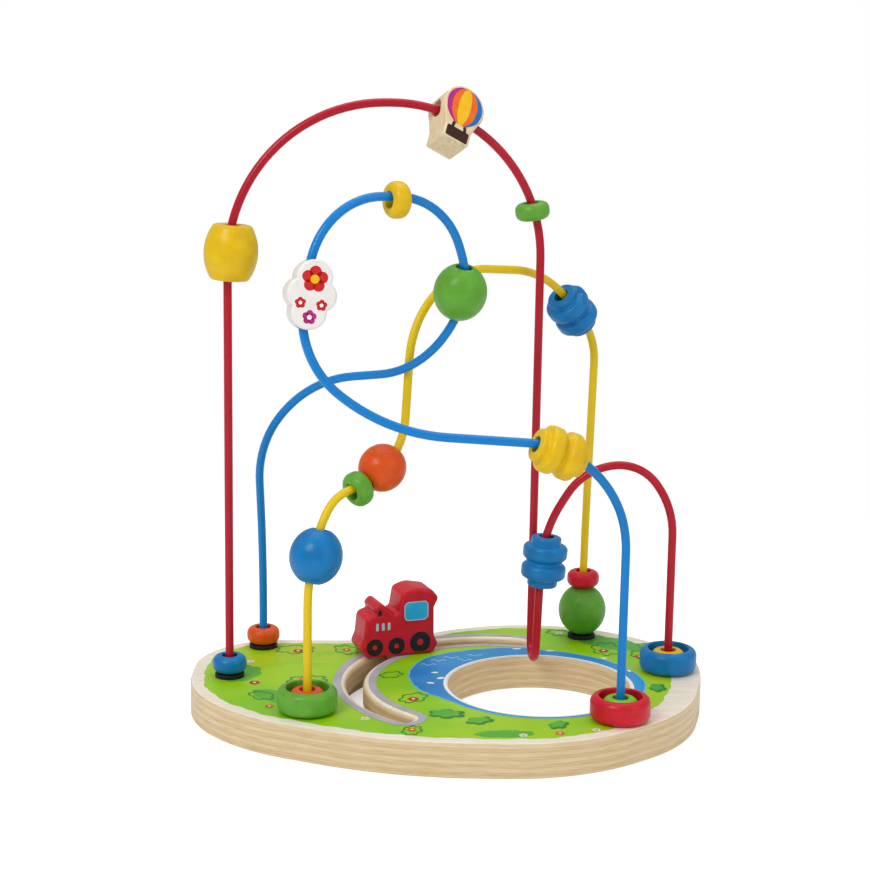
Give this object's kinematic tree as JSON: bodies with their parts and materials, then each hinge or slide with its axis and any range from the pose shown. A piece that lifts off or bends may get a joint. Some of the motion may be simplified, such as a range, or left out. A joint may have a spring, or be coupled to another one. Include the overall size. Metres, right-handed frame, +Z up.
{
  "type": "bead maze",
  "caption": "Wooden bead maze: three bent wires on a shaped plywood base with a round hole, threaded beads and blocks, and a toy train that runs in a curved slot.",
  "frame": {"origin": "on the floor at the centre of the whole toy's footprint, which is the centre of the base's underside", "axes": "+Z up from the base to the wires' crowns, +X to the right along the base's long side, +Y away from the front"},
  "size_m": [0.3, 0.215, 0.3599],
  "materials": {
    "birch_ply": "clear satin lacquer, layered edge",
    "red_enamel": "gloss enamel",
    "blue_enamel": "gloss enamel",
    "yellow_enamel": "gloss enamel",
    "black_nylon": "moulded, matte",
    "zinc_steel": "zinc plated",
    "blue_lacquer": "opaque satin gloss lacquer",
    "yellow_lacquer": "opaque satin gloss lacquer",
    "green_lacquer": "opaque satin gloss lacquer",
    "lime_lacquer": "opaque satin gloss lacquer",
    "red_lacquer": "opaque satin gloss lacquer",
    "orange_lacquer": "opaque satin gloss lacquer",
    "white_lacquer": "opaque satin lacquer, printed face",
    "maple": "clear lacquer, printed face"
  },
  "bodies": {
    "base": {"base_board": "birch_ply", "red_wire": "red_enamel", "blue_wire": "blue_enamel", "yellow_wire": "yellow_enamel", "red_left_cap": "black_nylon", "red_right_cap": "black_nylon", "blue_left_cap": "black_nylon", "blue_right_cap": "black_nylon", "yellow_front_cap": "black_nylon", "yellow_back_cap": "black_nylon", "foot_washers": "zinc_steel", "foot_nuts": "zinc_steel"},
    "blue_foot_ring": {"blue_foot_ring": "blue_lacquer"},
    "yellow_barrel": {"yellow_barrel": "yellow_lacquer"},
    "balloon_block": {"balloon_block": "maple"},
    "green_arch_ring": {"green_arch_ring": "green_lacquer"},
    "blue_bulge_bead": {"blue_bulge_bead": "blue_lacquer"},
    "blue_wide_ring": {"blue_wide_ring": "blue_lacquer"},
    "yellow_inner_ring": {"yellow_inner_ring": "yellow_lacquer"},
    "orange_foot_ring": {"orange_foot_ring": "orange_lacquer"},
    "green_loop_ball": {"green_loop_ball": "green_lacquer"},
    "yellow_loop_ring": {"yellow_loop_ring": "yellow_lacquer"},
    "white_blossom_block": {"white_blossom_block": "white_lacquer"},
    "yellow_twist_bead": {"yellow_twist_bead": "yellow_lacquer"},
    "red_wide_ring": {"red_wide_ring": "red_lacquer"},
    "green_inner_ring": {"green_inner_ring": "lime_lacquer"},
    "green_wide_ring": {"green_wide_ring": "green_lacquer"},
    "orange_inner_ring": {"orange_inner_ring": "orange_lacquer"},
    "blue_ball": {"blue_ball": "blue_lacquer"},
    "green_slope_ring": {"green_slope_ring": "green_lacquer"},
    "orange_ball": {"orange_ball": "orange_lacquer"},
    "blue_twist_bead": {"blue_twist_bead": "blue_lacquer"},
    "green_foot_ball": {"green_foot_ball": "green_lacquer"},
    "red_stack_ring": {"red_stack_ring": "red_lacquer"},
    "train_slider": {"train_slider": "zinc_steel"},
    "train": {"train_body": "red_lacquer", "train_peg": "maple", "train_screw": "zinc_steel"}
  },
  "joints": [
    {"name": "blue_foot_ring_travel", "type": "slide", "parent": "base", "child": "blue_foot_ring", "axis": [0, 0, 1], "range_m": [0, 0.205]},
    {"name": "yellow_barrel_travel", "type": "hinge", "parent": "base", "child": "yellow_barrel", "pos_m": [-0.04092, 0.0173, 0.26177], "axis": [-0.2187, 0.9758, 0], "range_deg": [-3.5, 40]},
    {"name": "balloon_block_travel", "type": "hinge", "parent": "base", "child": "balloon_block", "pos_m": [-0.03738, 0.0181, 0.26177], "axis": [-0.2187, 0.9758, 0], "range_deg": [-22, 13]},
    {"name": "green_arch_ring_travel", "type": "hinge", "parent": "base", "child": "green_arch_ring", "pos_m": [-0.03738, 0.0181, 0.26177], "axis": [-0.2187, 0.9758, 0], "range_deg": [-16, 18]},
    {"name": "blue_bulge_bead_travel", "type": "hinge", "parent": "base", "child": "blue_bulge_bead", "pos_m": [0.13361, 0.0212, 0.08012], "axis": [-0.0013, 1, 0], "range_deg": [-2, 28]},
    {"name": "blue_wide_ring_travel", "type": "slide", "parent": "base", "child": "blue_wide_ring", "axis": [0, 0, 1], "range_m": [0, 0.08]},
    {"name": "yellow_inner_ring_travel", "type": "slide", "parent": "base", "child": "yellow_inner_ring", "axis": [0, 0, 1], "range_m": [0, 0.076]},
    {"name": "orange_foot_ring_travel", "type": "slide", "parent": "base", "child": "orange_foot_ring", "axis": [0, 0, 1], "range_m": [0, 0.035]},
    {"name": "green_loop_ball_travel", "type": "hinge", "parent": "base", "child": "green_loop_ball", "pos_m": [-0.05003, -0.04286, 0.25526], "axis": [0.1936, -0.9455, -0.2619], "range_deg": [-26, 25]},
    {"name": "yellow_loop_ring_travel", "type": "hinge", "parent": "base", "child": "yellow_loop_ring", "pos_m": [-0.03684, -0.05842, 0.25889], "axis": [0.5091, -0.8506, -0.1313], "range_deg": [-44, 1]},
    {"name": "white_blossom_block_travel", "type": "slide", "parent": "base", "child": "white_blossom_block", "axis": [-0.1534, -0.164, -0.9745], "range_m": [-0.01, 0.0035]},
    {"name": "yellow_twist_bead_travel", "type": "hinge", "parent": "base", "child": "yellow_twist_bead", "pos_m": [0.03294, -0.0668, 0.13415], "axis": [-0.0813, 0.8961, 0.4363], "range_deg": [-19, 19]},
    {"name": "red_wide_ring_travel", "type": "slide", "parent": "base", "child": "red_wide_ring", "axis": [0, 0, 1], "range_m": [0, 0.07]},
    {"name": "green_inner_ring_travel", "type": "slide", "parent": "base", "child": "green_inner_ring", "axis": [0, 0, 1], "range_m": [0, 0.048]},
    {"name": "green_wide_ring_travel", "type": "slide", "parent": "base", "child": "green_wide_ring", "axis": [0, 0, 1], "range_m": [0, 0.034]},
    {"name": "orange_inner_ring_travel", "type": "slide", "parent": "base", "child": "orange_inner_ring", "axis": [0, 0, 1], "range_m": [0, 0.036]},
    {"name": "blue_ball_travel", "type": "hinge", "parent": "base", "child": "blue_ball", "pos_m": [0.00291, 0.01255, 0.07841], "axis": [-0.6669, 0.7452, 0], "range_deg": [-9, 1]},
    {"name": "green_slope_ring_travel", "type": "slide", "parent": "base", "child": "green_slope_ring", "axis": [0.7169, 0.6416, 0.2729], "range_m": [-0.016, 0]},
    {"name": "orange_ball_travel", "type": "hinge", "parent": "base", "child": "orange_ball", "pos_m": [-0.05325, -0.0377, 0.17979], "axis": [0.6669, -0.7452, 0], "range_deg": [0, 28]},
    {"name": "blue_twist_bead_travel", "type": "slide", "parent": "base", "child": "blue_twist_bead", "axis": [0.5207, 0.466, -0.7154], "range_m": [-0.014, 0.013]},
    {"name": "green_foot_ball_travel", "type": "slide", "parent": "base", "child": "green_foot_ball", "axis": [0, 0, 1], "range_m": [0, 0.028]},
    {"name": "red_stack_ring_travel", "type": "slide", "parent": "green_foot_ball", "child": "red_stack_ring", "axis": [0, 0, 1], "range_m": [0, 0.028]},
    {"name": "train_runs_in_slot", "type": "hinge", "parent": "base", "child": "train_slider", "pos_m": [0.0262, -0.0068, 0], "axis": [0, 0, 1], "range_deg": [-58, 54]},
    {"name": "train_turns_on_peg", "type": "hinge", "parent": "train_slider", "child": "train", "pos_m": [-0.03275, 0.04817, 0], "axis": [0, 0, 1], "continuous": true}
  ]
}
